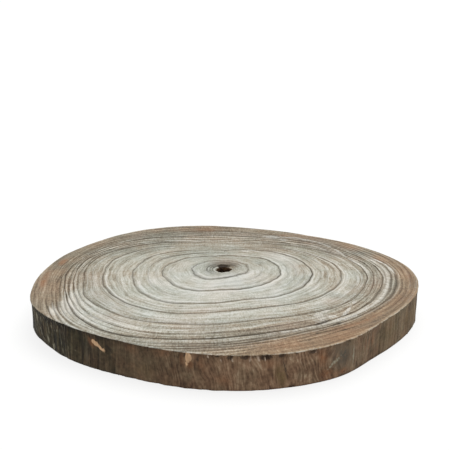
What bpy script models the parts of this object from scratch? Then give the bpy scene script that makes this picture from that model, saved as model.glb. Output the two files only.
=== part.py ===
"""Wood slice: a slab sawn across a trunk, debarked, lying flat on its underside.

The slab is one piece of wood. Its section is drawn once, from the pith outwards along +X, and
turned round the pith. Each point of the turned blank is then pushed in or out, so that the growth
rings and the edge take the uneven shape of the trunk. The rings stand as shallow grooves in a
flat sawn face, the pith is a hollow that goes right through, and the side is fluted along the grain.

Units are metres, with +Z up. The origin is at the centre of the underside's box.
Directions are degrees anticlockwise from +X, and radii are measured from the pith.
"""

import bisect
import math

import bpy

PART_NAME = "wood_slice"

# Slab
THICKNESS = 0.0315
TOP_EDGE_ROUND = 0.0016
LOWER_EDGE_ROUND = 0.0010

# Hollow pith and the dish worn round its mouth
PITH_MOUTH_RADIUS = 0.0077
PITH_THROAT_RADIUS = 0.0066
PITH_MOUTH_ROUND = 0.0008
DISH_RADIUS = 0.0180
DISH_DEPTH = 0.0016
DISH_STEPS = 3

# Grooves of the main growth rings, as cut by the section along +X
GROOVE_DEPTH = 0.0008
GROOVE_HALF_WIDTH = 0.0011

# Flutes along the grain on the side, deepest halfway down
FLUTE_COUNT = 23
FLUTE_DEPTH = 0.0007
FLUTE_DRIFT = 2.2
FLUTE_DRIFT_COUNT = 3
SIDE_ROWS = 4

# Even parts of the underside between the lower edge and the pith
UNDERSIDE_PARTS = 3

# Turning
TURN_STEPS = 96
MERGE_DISTANCE = 0.0001

# Main growth rings from the pith outwards: {direction: radius}
RINGS = (
    {0: 0.0230, 30: 0.0215, 90: 0.0200, 135: 0.0240, 180: 0.0290, 240: 0.0335, 255: 0.0310,
     270: 0.0260, 300: 0.0230, 330: 0.0240},
    {0: 0.0525, 30: 0.0470, 60: 0.0380, 90: 0.0345, 120: 0.0375, 150: 0.0470, 180: 0.0560,
     210: 0.0610, 240: 0.0650, 270: 0.0580, 300: 0.0570, 330: 0.0560},
    {0: 0.0810, 30: 0.0720, 60: 0.0600, 90: 0.0510, 120: 0.0580, 150: 0.0750, 180: 0.0835,
     205: 0.0900, 225: 0.0990, 240: 0.0995, 265: 0.0890, 285: 0.0830, 305: 0.0870, 330: 0.0865},
    {0: 0.1075, 20: 0.0970, 45: 0.0810, 70: 0.0650, 90: 0.0620, 115: 0.0700, 140: 0.0920,
     165: 0.1070, 195: 0.1150, 225: 0.1215, 245: 0.1210, 265: 0.1100, 285: 0.1045, 320: 0.1120,
     345: 0.1125},
    {0: 0.1310, 20: 0.1160, 45: 0.0950, 70: 0.0770, 90: 0.0740, 115: 0.0830, 140: 0.1070,
     165: 0.1250, 180: 0.1295, 195: 0.1330, 212: 0.1415, 240: 0.1445, 260: 0.1370, 285: 0.1290,
     315: 0.1370, 345: 0.1360},
    {0: 0.1385, 20: 0.1225, 45: 0.1010, 70: 0.0860, 90: 0.0830, 115: 0.0930, 140: 0.1150,
     165: 0.1318, 180: 0.1370, 195: 0.1416, 210: 0.1504, 225: 0.1595, 245: 0.1645, 262: 0.1570,
     285: 0.1465, 315: 0.1460, 345: 0.1420},
    {0: 0.1450, 20: 0.1300, 45: 0.1120, 70: 0.0990, 90: 0.0980, 115: 0.1050, 140: 0.1240,
     165: 0.1385, 180: 0.1445, 195: 0.1500, 208: 0.1562, 225: 0.1710, 242: 0.1760, 262: 0.1660,
     285: 0.1550, 315: 0.1550, 345: 0.1490},
)

# Top edge, and how far the lower edge stands outside it: {direction: metres}
TOP_EDGE = {
    0: 0.1760, 15: 0.1620, 30: 0.1470, 45: 0.1345, 60: 0.1290, 75: 0.1270, 90: 0.1305, 120: 0.1435,
    150: 0.1525, 165: 0.1600, 180: 0.1680, 195: 0.1785, 210: 0.1890, 240: 0.1862, 262: 0.1913,
    270: 0.1945, 285: 0.1975, 300: 0.1940, 318: 0.1838, 345: 0.1827,
}
LOWER_EDGE_OFFSET = {
    20: -0.0010, 60: 0.0008, 100: -0.0006, 140: 0.0009, 175: -0.0008, 200: -0.0004, 214: -0.0034,
    232: 0.0014, 249: 0.0006, 263: 0.0017, 279: -0.0016, 289: -0.0022, 299: -0.0014, 309: -0.0026,
    320: -0.0010, 342: -0.0004,
}

# Finish
WOOD_COLOUR = (0.42, 0.37, 0.30, 1.0)
WOOD_ROUGHNESS = 0.85
SHARP_ANGLE = 35


def clear_scene():
    """Remove every object, so that only the slice is left."""
    for item in list(bpy.data.objects):
        bpy.data.objects.remove(item, do_unlink=True)


def curve_value(curve, direction):
    """Value at a direction on the smooth closed curve through {direction: value}."""
    places = sorted(curve)
    count = len(places)
    here = bisect.bisect_right(places, direction) - 1
    near = range(here - 1, here + 3)
    place = [places[k % count] + 360 * (k // count) for k in near]
    value = [curve[places[k % count]] for k in near]
    span = place[2] - place[1]
    rise = value[2] - value[1]
    leave = (value[2] - value[0]) / (place[2] - place[0]) * span
    arrive = (value[3] - value[1]) / (place[3] - place[1]) * span
    t = (direction - place[1]) / span
    return value[1] + t * (leave + t * (3 * rise - 2 * leave - arrive + t * (leave + arrive - 2 * rise)))


def pith_points():
    """Section of the hollow pith and its dish, from the foot of the hole up to the sawn face."""
    mouth_height = THICKNESS - DISH_DEPTH
    points = [
        (PITH_MOUTH_RADIUS, 0.0),
        (PITH_THROAT_RADIUS, THICKNESS / 2),
        (PITH_MOUTH_RADIUS, mouth_height - PITH_MOUTH_ROUND),
    ]
    dish_start = PITH_MOUTH_RADIUS + PITH_MOUTH_ROUND
    for step in range(DISH_STEPS + 1):
        out = step / DISH_STEPS
        radius = dish_start + (DISH_RADIUS - dish_start) * out
        points.append((radius, THICKNESS - DISH_DEPTH * (1 - out) ** 2))
    return points


def groove_points():
    """Section of the grooves that the main growth rings leave in the sawn face."""
    points = []
    for ring in RINGS:
        middle = curve_value(ring, 0)
        points.append((middle - GROOVE_HALF_WIDTH, THICKNESS))
        points.append((middle, THICKNESS - GROOVE_DEPTH))
        points.append((middle + GROOVE_HALF_WIDTH, THICKNESS))
    return points


def side_points():
    """Section of the rounded top edge, the side and the lower edge, from the top down."""
    edge = curve_value(TOP_EDGE, 0)
    shoulder = TOP_EDGE_ROUND * (1 - math.sqrt(0.5))
    points = [(edge - TOP_EDGE_ROUND, THICKNESS), (edge - shoulder, THICKNESS - shoulder)]
    top = THICKNESS - TOP_EDGE_ROUND
    for row in range(SIDE_ROWS + 1):
        points.append((edge, top + (LOWER_EDGE_ROUND - top) * row / SIDE_ROWS))
    points.append((edge - LOWER_EDGE_ROUND, 0.0))
    return points


def underside_points():
    """Section of the flat underside between the lower edge and the foot of the pith hole."""
    outer = curve_value(TOP_EDGE, 0)
    inner = PITH_MOUTH_RADIUS
    shares = [part / UNDERSIDE_PARTS for part in range(UNDERSIDE_PARTS - 1, 0, -1)]
    return [(inner + (outer - inner) * share, 0.0) for share in shares]


def turn_section():
    """Turn the closed section round the pith and return the blank's mesh."""
    points = pith_points() + groove_points() + side_points() + underside_points()
    count = len(points)
    profile = bpy.data.meshes.new("slice_section")
    edges = [(k, (k + 1) % count) for k in range(count)]
    profile.from_pydata([(x, 0.0, z) for x, z in points], edges, [])
    section = bpy.data.objects.new("slice_section", profile)
    bpy.context.scene.collection.objects.link(section)
    screw = section.modifiers.new("Turn", "SCREW")
    screw.axis = "Z"
    screw.angle = 2 * math.pi
    screw.steps = TURN_STEPS
    screw.render_steps = TURN_STEPS
    screw.use_merge_vertices = True
    screw.merge_threshold = MERGE_DISTANCE
    turned = section.evaluated_get(bpy.context.evaluated_depsgraph_get())
    blank = bpy.data.meshes.new_from_object(turned)
    bpy.data.objects.remove(section, do_unlink=True)
    return blank


def flute(direction, lower):
    """How far the fluted side stands out, in one direction and at a share of the way down."""
    turn = math.radians(direction)
    wave = math.sin(FLUTE_COUNT * turn + FLUTE_DRIFT * math.sin(FLUTE_DRIFT_COUNT * turn))
    return FLUTE_DEPTH * wave * math.sin(math.pi * lower)


def zone_radii(direction, lower):
    """Radii of the pith hole, the main rings and the edge, at a share of the way down the side."""
    edge = curve_value(TOP_EDGE, direction) + lower * curve_value(LOWER_EDGE_OFFSET, direction)
    edge += flute(direction, lower)
    return [PITH_MOUTH_RADIUS, *(curve_value(ring, direction) for ring in RINGS), edge]


def carried_over(radius, drawn, real):
    """Radius that keeps its share of its zone, from the radii drawn at +X to the real ones."""
    if radius <= drawn[0]:
        return radius
    zone = min(bisect.bisect_right(drawn, radius), len(drawn) - 1)
    share = (radius - drawn[zone - 1]) / (drawn[zone] - drawn[zone - 1])
    return real[zone - 1] + share * (real[zone] - real[zone - 1])


def grow(mesh):
    """Push the blank out to the trunk's shape and centre its box on the origin."""
    drawn = zone_radii(0, 0)
    for vertex in mesh.vertices:
        x, y, height = vertex.co
        direction = math.degrees(math.atan2(y, x)) % 360
        real = zone_radii(direction, 1 - height / THICKNESS)
        radius = carried_over(math.hypot(x, y), drawn, real)
        turn = math.radians(direction)
        vertex.co = (radius * math.cos(turn), radius * math.sin(turn), height)
    for axis in (0, 1):
        places = [vertex.co[axis] for vertex in mesh.vertices]
        middle = (min(places) + max(places)) / 2
        for vertex in mesh.vertices:
            vertex.co[axis] -= middle


def wood_material():
    """Dry, greyed wood."""
    material = bpy.data.materials.new("weathered_wood")
    material.use_nodes = True
    shader = material.node_tree.nodes["Principled BSDF"]
    shader.inputs["Base Color"].default_value = WOOD_COLOUR
    shader.inputs["Roughness"].default_value = WOOD_ROUGHNESS
    shader.inputs["Metallic"].default_value = 0.0
    return material


def build_slice():
    """Make the slice in a collection of its own."""
    mesh = turn_section()
    grow(mesh)
    mesh.name = PART_NAME
    mesh.materials.append(wood_material())
    mesh.shade_smooth()
    mesh.set_sharp_from_angle(angle=math.radians(SHARP_ANGLE))
    collection = bpy.data.collections.new(PART_NAME)
    bpy.context.scene.collection.children.link(collection)
    collection.objects.link(bpy.data.objects.new(PART_NAME, mesh))


clear_scene()
build_slice()
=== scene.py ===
import math

import bpy
import numpy as np
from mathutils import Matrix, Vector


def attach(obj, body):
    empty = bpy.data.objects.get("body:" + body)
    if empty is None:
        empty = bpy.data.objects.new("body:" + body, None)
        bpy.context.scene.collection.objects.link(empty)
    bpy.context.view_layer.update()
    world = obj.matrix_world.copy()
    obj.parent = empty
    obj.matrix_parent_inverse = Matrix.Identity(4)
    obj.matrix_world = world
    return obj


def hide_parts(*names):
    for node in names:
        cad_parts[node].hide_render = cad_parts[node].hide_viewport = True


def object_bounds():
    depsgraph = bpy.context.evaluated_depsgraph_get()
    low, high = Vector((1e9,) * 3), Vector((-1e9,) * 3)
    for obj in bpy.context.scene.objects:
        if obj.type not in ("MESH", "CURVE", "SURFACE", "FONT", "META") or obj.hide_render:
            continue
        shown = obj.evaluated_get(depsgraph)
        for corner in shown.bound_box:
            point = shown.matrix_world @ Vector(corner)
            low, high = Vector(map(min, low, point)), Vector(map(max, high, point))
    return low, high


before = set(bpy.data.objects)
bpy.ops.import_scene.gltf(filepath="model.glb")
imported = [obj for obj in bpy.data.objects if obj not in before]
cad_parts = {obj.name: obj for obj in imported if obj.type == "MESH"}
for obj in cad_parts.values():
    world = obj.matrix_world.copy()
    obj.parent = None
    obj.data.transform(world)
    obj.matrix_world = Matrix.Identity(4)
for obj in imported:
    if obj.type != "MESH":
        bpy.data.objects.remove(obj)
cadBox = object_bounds()
print("frame loaded")

# The slice is one piece of wood. It is built in rows round the pith, each row on one line of growth,
# then relief is laid on it by a node tree. Lengths are metres unless a name says mm, directions are
# degrees anticlockwise from +X, and an age counts main growth rings from the pith out.

slab = {
    "columns": 1120,  # finest columns round the slab
    "rowZones": ((8, 1.0), (4, 3.0), (2, 10.4)),  # a row has every so many columns, up to this age
    "thickness": 0.0315,
    "topRound": 0.0010,
    "lowerRound": 0.0010,
    "sideRows": 20,
    "pithRadius": 0.0077,
    "throatRadius": 0.0066,
    "holeMm": 9,  # marks on the sawn face reach down the hole's wall within this radius
    "wallRows": 7,
    "wallRoughness": 0.0003,
    "mouthRound": 0.0008,
    "mouthAge": 0.052,  # where the dish starts
    "dishAge": 0.67,
    "dishDepth": 0.0016,
    "rimRing": 0.016,  # thickness of a year's growth outside the last main ring
    "rimGap": 0.0005,  # least room between the rows and the rim
    "rowGapMm": 2.7,
    "leastRowAge": 0.022,
    "crestSpread": 1.4,  # how far out of a pale crest its two outer rows stand
    "underStep": 4,
    "underLineMm": 1.04,
    "underGap": 0.0008,
    "ripple": 0.00045,  # how far a ring line wanders
    "ripples": ((7, 5, 1.0), (13, -3, 0.8), (31, 9, 0.6)),  # how many waves, how they drift with age, size
    "broadening": 1.1,  # how much broader the lines are at the front and back
    "backDarkness": 0.6,  # how much darker the lines are at the back
    "fluteCount": 23,
    "fluteDepth": 0.0007,
    "fluteDrift": 2.2,
    "driftCount": 3,
}

# Main rings, from the pith out: {direction: radius}
ringCurves = [
    {0: 0.023, 30: 0.0215, 90: 0.02, 135: 0.024, 180: 0.029, 240: 0.0335, 255: 0.031, 270: 0.026,
     300: 0.023, 330: 0.024},
    {0: 0.0525, 30: 0.047, 60: 0.038, 90: 0.0345, 120: 0.0375, 150: 0.047, 180: 0.056, 210: 0.061,
     240: 0.065, 270: 0.058, 300: 0.057, 330: 0.056},
    {0: 0.081, 30: 0.072, 60: 0.06, 90: 0.051, 120: 0.058, 150: 0.075, 180: 0.0835, 205: 0.09,
     225: 0.099, 240: 0.0995, 265: 0.089, 285: 0.083, 305: 0.087, 330: 0.0865},
    {0: 0.1075, 20: 0.097, 45: 0.081, 70: 0.065, 90: 0.062, 115: 0.07, 140: 0.092, 165: 0.107,
     195: 0.115, 225: 0.1215, 245: 0.121, 265: 0.11, 285: 0.1045, 320: 0.112, 345: 0.1125},
    {0: 0.131, 20: 0.116, 45: 0.095, 70: 0.077, 90: 0.074, 115: 0.083, 140: 0.107, 165: 0.125,
     180: 0.1295, 195: 0.133, 212: 0.1415, 240: 0.1445, 260: 0.137, 285: 0.129, 315: 0.137, 345: 0.136},
    {0: 0.1385, 20: 0.1225, 45: 0.101, 70: 0.086, 90: 0.083, 115: 0.093, 140: 0.115, 165: 0.1318,
     180: 0.137, 195: 0.1416, 210: 0.1504, 225: 0.1595, 245: 0.1645, 262: 0.157, 285: 0.1465,
     315: 0.146, 345: 0.142},
    {0: 0.145, 20: 0.13, 45: 0.112, 70: 0.099, 90: 0.098, 115: 0.105, 140: 0.124, 165: 0.1385,
     180: 0.1445, 195: 0.15, 208: 0.1562, 225: 0.171, 242: 0.176, 262: 0.166, 285: 0.155, 315: 0.155,
     345: 0.149},
    {0: 0.158, 15: 0.146, 30: 0.133, 45: 0.12, 60: 0.112, 90: 0.112, 120: 0.122, 140: 0.133,
     165: 0.1445, 180: 0.1492, 195: 0.1556, 205: 0.1625, 215: 0.173, 228: 0.184, 240: 0.187,
     250: 0.186, 262: 0.18, 270: 0.1755, 285: 0.167, 300: 0.163, 330: 0.164, 345: 0.1625},
]
topEdge = {
    0: 0.176, 15: 0.162, 30: 0.147, 45: 0.1345, 60: 0.129, 75: 0.127, 90: 0.1305, 120: 0.1435,
    150: 0.1525, 165: 0.16, 180: 0.168, 195: 0.1785, 210: 0.189, 240: 0.1862, 262: 0.1913, 270: 0.1945,
    285: 0.1975, 300: 0.194, 318: 0.1838, 345: 0.1827,
}
lowerEdgeOffset = {
    20: -0.001, 60: 0.0008, 100: -0.0006, 140: 0.0009, 175: -0.0008, 200: -0.0004, 214: -0.0034,
    232: 0.0014, 249: 0.0006, 263: 0.0017, 279: -0.0016, 289: -0.0022, 299: -0.0014, 309: -0.0026,
    320: -0.001, 342: -0.0004,
}

# Ring lines: age, half width in mm, darkness, which may change with direction
ringLines = [
    (0.14, 0.5, {0: 0.3, 90: 0.3, 180: 0.9, 270: 0.1}),
    (0.25, 0.5, {0: 0.3, 45: 0.4, 90: 0.2, 180: 0.9, 270: 0.2}),
    (0.38, 0.6, {0: 0.3, 45: 0.7, 90: 0.3, 135: 0.6, 180: 1.0, 270: 0.35}),
    (0.66, 0.5, {0: 0.2, 45: 0.5, 90: 0.4, 135: 0.2, 270: 0.2}),
    (1.0, 0.7, {0: 0.6, 60: 0.35, 120: 0.3, 180: 0.8, 240: 0.75, 285: 0.95, 330: 0.8}),
    (1.45, 0.6, {0: 0.25, 90: 0.15, 180: 0.1, 240: 0.1, 300: 0.3, 330: 0.45}),
    (1.75, 0.6, {0: 0.25, 90: 0.2, 180: 0.2, 240: 0.1, 270: 0.4, 300: 0.35}),
    (2.0, 0.75, {0: 0.85, 45: 0.6, 90: 0.5, 135: 0.6, 180: 0.85, 240: 0.75, 270: 1.0, 315: 0.9}),
    (2.25, 0.6, {0: 0.35, 90: 0.1, 180: 0.25, 270: 0.1, 330: 0.35}),
    (2.52, 0.7, {0: 0.3, 60: 0.15, 120: 0.6, 150: 0.75, 175: 0.6, 200: 0.3, 225: 0.35, 260: 0.05,
                 330: 0.3}),
    (2.76, 0.6, {0: 0.3, 90: 0.1, 180: 0.15, 270: 0.1, 330: 0.35}),
    (3.0, 0.8, {0: 0.95, 45: 0.6, 90: 0.45, 135: 0.5, 180: 0.8, 225: 0.7, 255: 0.9, 285: 0.85,
                330: 1.0}),
    (3.3, 0.6, {0: 0.4, 90: 0.2, 180: 0.1, 270: 0.1, 330: 0.3}),
    (3.55, 0.6, {0: 0.35, 90: 0.2, 180: 0.3, 270: 0.1, 330: 0.25}),
    (3.8, 0.6, {0: 0.3, 90: 0.2, 180: 0.15, 270: 0.3, 330: 0.2}),
    (4.0, 0.75, {0: 0.75, 45: 0.6, 90: 0.3, 135: 0.6, 180: 0.85, 225: 0.9, 260: 0.75, 290: 0.8,
                 330: 0.75}),
    (4.16, 0.7, {0: 0.2, 90: 0.1, 180: 0.1, 205: 0.25, 225: 0.3, 250: 0.1, 330: 0.1}),
    (4.55, 0.6, {0: 0.3, 90: 0.2, 165: 0.5, 210: 0.35, 270: 0.1, 330: 0.15}),
    (4.8, 0.6, {0: 0.4, 90: 0.1, 165: 0.3, 210: 0.3, 270: 0.2, 330: 0.2}),
    (5.0, 0.75, {0: 0.8, 45: 0.5, 90: 0.3, 150: 0.8, 195: 0.85, 240: 0.7, 270: 0.7, 315: 0.8}),
    (5.5, 0.7, {0: 0.3, 45: 0.5, 90: 0.3, 150: 0.7, 200: 0.75, 225: 0.3, 240: 0.2, 270: 0.2, 315: 0.3}),
    (6.0, 0.7, {0: 0.4, 45: 0.6, 90: 0.4, 150: 0.8, 200: 0.85, 225: 0.5, 240: 0.6, 270: 0.5, 315: 0.4}),
    (6.5, 0.7, {0: 0.4, 45: 0.5, 90: 0.3, 150: 0.6, 205: 0.8, 225: 0.4, 240: 0.3, 270: 0.3, 315: 0.3}),
    (7.0, 0.8, {0: 0.7, 45: 0.5, 90: 0.5, 150: 0.7, 205: 0.85, 240: 1.0, 285: 1.0, 315: 0.9, 345: 0.7}),
    (7.3, 0.7, {0: 0.5, 90: 0.3, 165: 0.3, 195: 0.2, 215: 0.6, 230: 0.3, 250: 0.2, 270: 0.3, 300: 0.1,
                330: 0.1}),
    (7.66, 0.8, {0: 0.6, 90: 0.4, 165: 0.5, 195: 0.7, 215: 0.6, 230: 0.3, 250: 0.5, 265: 0.9, 280: 0.7,
                 300: 0.5, 330: 0.6}),
    (8.0, 0.8, {0: 0.5, 45: 0.4, 90: 0.5, 165: 0.3, 200: 0.25, 217: 0.6, 230: 0.4, 250: 0.5, 265: 0.7,
                285: 0.8, 300: 0.6, 330: 0.6}),
    (8.27, 0.8, {0: 0.3, 90: 0.3, 150: 0.3, 170: 0.2, 200: 0.2, 219: 0.7, 235: 0.3, 255: 0.8, 272: 0.8,
                 290: 0.3, 330: 0.3}),
    (8.56, 0.8, {0: 0.3, 90: 0.3, 150: 0.2, 170: 0.1, 200: 0.2, 221: 0.5, 235: 0.3, 258: 0.7, 270: 0.6,
                 285: 0.3, 330: 0.2}),
    (8.9, 0.8, {0: 0.3, 90: 0.3, 180: 0.2, 210: 0.3, 265: 0.5, 290: 0.2, 330: 0.2}),
    (9.3, 0.8, {0: 0.4, 90: 0.3, 180: 0.15, 210: 0.3, 270: 0.2, 330: 0.2}),
    (9.7, 0.8, 0.2),
]

# Pale crests between the lines: age, half width in mm, {direction: strength}
paleRings = [
    (2.09, 0.7, {0: 0.8, 20: 0.5, 45: 0.2, 90: 0.0, 180: 0.2, 270: 0.0, 330: 0.6}),
    (3.08, 0.7, {0: 1.0, 30: 0.5, 60: 0.1, 90: 0.0, 180: 0.2, 270: 0.0, 330: 0.4}),
    (3.91, 0.8, {0: 0.9, 10: 1.2, 40: 1.1, 60: 0.4, 90: 0.0, 180: 0.1, 270: 0.0, 330: 0.3}),
    (4.1, 0.7, {0: 1.0, 20: 0.9, 40: 0.6, 60: 0.1, 90: 0.0, 180: 0.3, 225: 0.5, 270: 0.0, 330: 0.2}),
    (5.15, 0.8, {0: 1.3, 20: 1.3, 40: 0.9, 60: 0.4, 90: 0.2, 150: 0.2, 190: 0.3, 208: 0.6, 218: 0.2,
                 300: 0.0, 335: 0.2}),
    (5.75, 0.8, {0: 0.6, 20: 0.9, 40: 0.6, 90: 0.1, 150: 0.3, 195: 0.4, 208: 0.8, 220: 0.4, 240: 0.1,
                 300: 0.0}),
    (6.25, 0.8, {0: 0.4, 35: 1.0, 60: 0.5, 90: 0.3, 150: 0.3, 190: 0.2, 208: 0.8, 220: 0.4, 250: 0.1,
                 300: 0.1}),
    (6.75, 0.8, {0: 0.2, 60: 0.3, 90: 0.3, 150: 0.2, 195: 0.1, 210: 0.9, 222: 0.3, 240: 0.1, 270: 0.2,
                 330: 0.1}),
    (7.14, 0.8, {0: 0.2, 60: 0.2, 90: 0.3, 180: 0.1, 203: 0.1, 212: 0.9, 225: 0.3, 240: 0.2, 270: 0.25,
                 300: 0.4, 330: 0.3}),
    (7.42, 1.9, {0: 0.7, 20: 0.5, 40: 0.4, 60: 0.2, 90: 0.1, 180: 0.0, 207: 0.0, 215: 0.8, 225: 0.2,
                 250: 0.1, 275: 0.3, 290: 0.7, 305: 1.0, 325: 1.3, 345: 1.2}),
    (7.83, 0.8, {0: 0.6, 20: 0.7, 60: 0.4, 90: 0.2, 150: 0.0, 208: 0.0, 217: 0.9, 228: 0.3, 250: 0.2,
                 270: 0.3, 300: 0.2, 330: 0.1}),
    (8.14, 0.8, {0: 0.4, 20: 0.6, 60: 0.1, 150: 0.0, 212: 0.0, 219: 0.9, 230: 0.3, 250: 0.3, 275: 0.4,
                 300: 0.6, 330: 0.4}),
    (8.42, 0.8, {0: 0.1, 20: 0.3, 60: 0.1, 150: 0.0, 213: 0.1, 220: 0.9, 235: 0.2, 255: 0.35, 275: 0.3,
                 300: 0.1}),
    (8.74, 0.7, {0: 0.3, 20: 0.3, 60: 0.0, 180: 0.1, 213: 0.2, 222: 0.6, 260: 0.4, 280: 0.1, 310: 0.1,
                 340: 0.2}),
    (9.1, 0.7, {0: 0.4, 30: 0.1, 90: 0.0, 180: 0.1, 200: 0.1, 270: 0.1, 300: 0.1, 340: 0.3}),
]

# Soft dark bands beside the rings: age, breadth inwards and outwards in mm, {direction: strength}
ringBands = [
    # the first band is painted shade on the dish behind the pith hole
    (0.16, 2, 4.0, {0: 0.15, 45: 0.4, 90: 0.55, 135: 0.15, 180: 0.05, 225: 0.0, 315: 0.0}),
    (1.0, 1.5, 3, {0: 0.35, 30: 0.55, 90: 0.2, 180: 0.1, 270: 0.2}),
    (2.0, 5, 2.5, {0: 0.35, 90: 0.2, 180: 0.1, 240: 0.3, 262: 0.7, 285: 0.7, 310: 0.5, 335: 0.3}),
    (2.03, 1, 5, {0: 0.0, 45: 0.2, 90: 0.5, 135: 0.35, 180: 0.5, 225: 0.15, 270: 0.0, 330: 0.1}),
    (3.0, 2, 8, {0: 0.3, 45: 0.5, 90: 0.3, 135: 0.3, 180: 0.4, 235: 0.3, 255: 0.8, 275: 0.7, 300: 0.4,
                 330: 0.35}),
    (4.0, 8, 2, {0: 0.5, 45: 0.35, 90: 0.2, 150: 0.5, 180: 0.3, 240: 0.45, 262: 0.7, 285: 0.8,
                 305: 0.5, 345: 0.5}),
    (4.05, 1, 12, {0: 0.0, 90: 0.0, 150: 0.3, 180: 0.5, 195: 0.6, 215: 0.3, 240: 0.0, 300: 0.0}),
    (5.0, 3, 9, {0: 0.4, 45: 0.3, 90: 0.2, 150: 0.4, 180: 0.5, 240: 0.3, 262: 0.55, 290: 0.7, 320: 0.7,
                 340: 0.6}),
    (6.0, 4, 6, {0: 0.5, 90: 0.2, 180: 0.4, 240: 0.3, 270: 0.5, 300: 0.6, 330: 0.7}),
    (7.0, 5, 2, {0: 0.4, 90: 0.3, 180: 0.4, 240: 0.5, 270: 0.7, 290: 0.8, 310: 0.6, 340: 0.4}),
    (8.0, 4, 1.5, {0: 0.4, 90: 0.3, 180: 0.3, 250: 0.3, 280: 0.5, 300: 0.3}),
]

# How far the grey wash still covers the brown, by age: {direction: share}
washLevels = [
    (0.0, {0: 0.78, 60: 0.68, 90: 0.7, 135: 0.82, 180: 0.88, 270: 0.96}),
    (1.0, {0: 0.98, 90: 0.82, 135: 0.92, 180: 1.0, 225: 1.11, 270: 1.19, 315: 1.15}),
    (2.0, {0: 0.95, 45: 0.88, 90: 0.86, 135: 0.84, 180: 0.93, 225: 1.05, 270: 1.17, 315: 1.11}),
    (3.0, {0: 0.84, 45: 0.72, 90: 0.82, 135: 0.78, 180: 0.9, 225: 0.98, 270: 0.98, 315: 0.96}),
    (4.0, {0: 0.84, 45: 0.62, 90: 0.86, 135: 0.7, 180: 0.82, 225: 0.96, 270: 0.98, 315: 0.98}),
    (5.0, {0: 0.7, 45: 0.56, 90: 0.81, 135: 0.6, 180: 0.66, 225: 0.93, 270: 0.88, 315: 0.84}),
    (6.0, {0: 0.6, 45: 0.54, 90: 0.73, 135: 0.56, 180: 0.56, 200: 0.62, 210: 1.06, 225: 1.02, 250: 0.8,
           270: 0.76, 315: 0.68}),
    (7.0, {0: 0.6, 45: 0.52, 90: 0.67, 135: 0.5, 180: 0.5, 200: 0.54, 207: 0.64, 214: 1.1, 230: 0.96,
           250: 0.64, 270: 0.62, 290: 0.6, 330: 0.68}),
    (7.6, {0: 0.56, 45: 0.52, 90: 0.65, 135: 0.48, 180: 0.46, 205: 0.46, 212: 0.6, 219: 1.04,
           235: 0.86, 250: 0.57, 270: 0.57, 290: 0.56, 330: 0.68}),
    (8.0, {0: 0.48, 45: 0.5, 90: 0.61, 135: 0.46, 180: 0.42, 207: 0.42, 214: 0.52, 221: 0.92,
           250: 0.55, 272: 0.53, 290: 0.52, 305: 0.5, 330: 0.48}),
    (8.5, {0: 0.4, 45: 0.44, 90: 0.49, 135: 0.44, 180: 0.38, 212: 0.4, 219: 0.56, 227: 0.84, 250: 0.58,
           266: 0.56, 280: 0.5, 295: 0.42, 330: 0.36}),
    (10.0, {0: 0.36, 90: 0.42, 180: 0.38, 270: 0.42, 315: 0.36}),
]

# Steps in the wash that go with the growth: (age, lighter or darker)
washSteps = [
    (2.0, 0.0), (2.1, 0.04), (2.6, 0.0), (3.9, 0.0), (4.08, 0.06), (4.6, 0.05), (4.95, 0.0),
    (6.95, 0.0), (7.1, 0.05), (7.6, 0.04), (8.0, 0.0),
]

# How tan the wood is, by age: {direction: share}
tanLevels = [
    (0.0, {0: 0.05, 45: 0.25, 90: 0.3, 135: 0.1, 180: 0.0, 270: 0.0}),
    (2.4, {0: 0.02, 45: 0.06, 90: 0.12, 135: 0.04, 180: 0.0, 270: 0.0}),
    (4.6, {0: 0.12, 90: 0.28, 180: 0.1, 225: 0.02, 290: 0.15}),
    (6.0, {0: 0.28, 45: 0.36, 90: 0.37, 135: 0.15, 180: 0.3, 200: 0.3, 209: 0.04, 250: 0.12, 290: 0.4,
           330: 0.3}),
    (7.95, {0: 0.45, 45: 0.52, 90: 0.42, 135: 0.2, 180: 0.55, 205: 0.6, 213: 0.5, 221: 0.08, 250: 0.1,
            270: 0.2, 290: 0.45, 330: 0.35}),
    (8.2, {0: 0.8, 45: 0.65, 90: 0.55, 135: 0.32, 180: 0.52, 207: 0.55, 216: 0.5, 224: 0.1, 250: 0.1,
           268: 0.25, 280: 0.8, 290: 1.0, 325: 1.0, 345: 0.9}),
    (8.7, {0: 0.9, 45: 0.65, 90: 0.6, 135: 0.35, 180: 0.55, 212: 0.55, 222: 0.25, 250: 0.12, 262: 0.35,
           272: 0.95, 300: 1.1, 325: 1.05, 345: 0.95}),
    (10.0, {0: 0.85, 45: 0.6, 90: 0.6, 135: 0.38, 180: 0.55, 210: 0.55, 270: 0.95, 300: 1.0, 330: 1.0}),
]

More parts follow.
